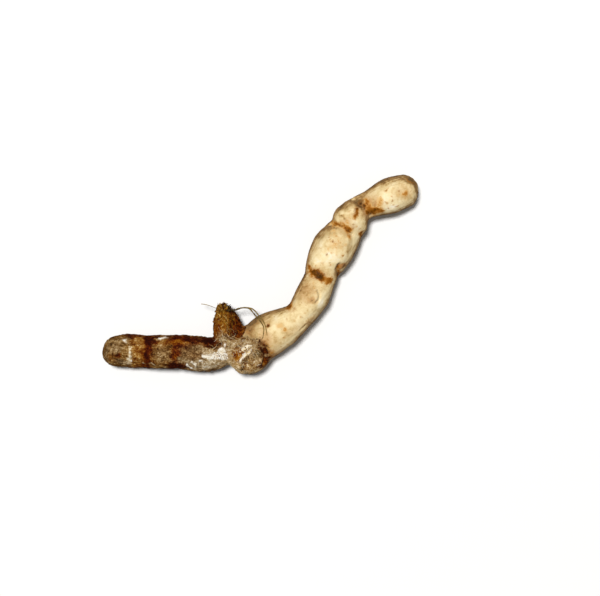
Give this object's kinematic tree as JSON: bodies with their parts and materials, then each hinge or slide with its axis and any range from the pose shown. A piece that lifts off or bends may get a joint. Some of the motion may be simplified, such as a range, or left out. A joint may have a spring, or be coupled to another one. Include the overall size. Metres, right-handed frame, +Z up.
{
  "type": "kansui root",
  "caption": "Dried branched kansui root lying down: a crown knob with a dark limb, a beaded cream limb and a torn stub.",
  "frame": {"origin": "middle of the root's bounding box, on the plane that it lies on", "axes": "+X along the root's longest extent, from the dark limb's tip to the beaded limb's tip; +Y towards the torn stub; +Z up from the surface that it lies on"},
  "size_m": [0.1114, 0.0706, 0.0147],
  "materials": {
    "root_skin": "matt dried root skin, cream with brown patches, grey-brown and crusty towards the crown"
  },
  "bodies": {
    "root": {"kansui_root": "root_skin"}
  },
  "joints": []
}
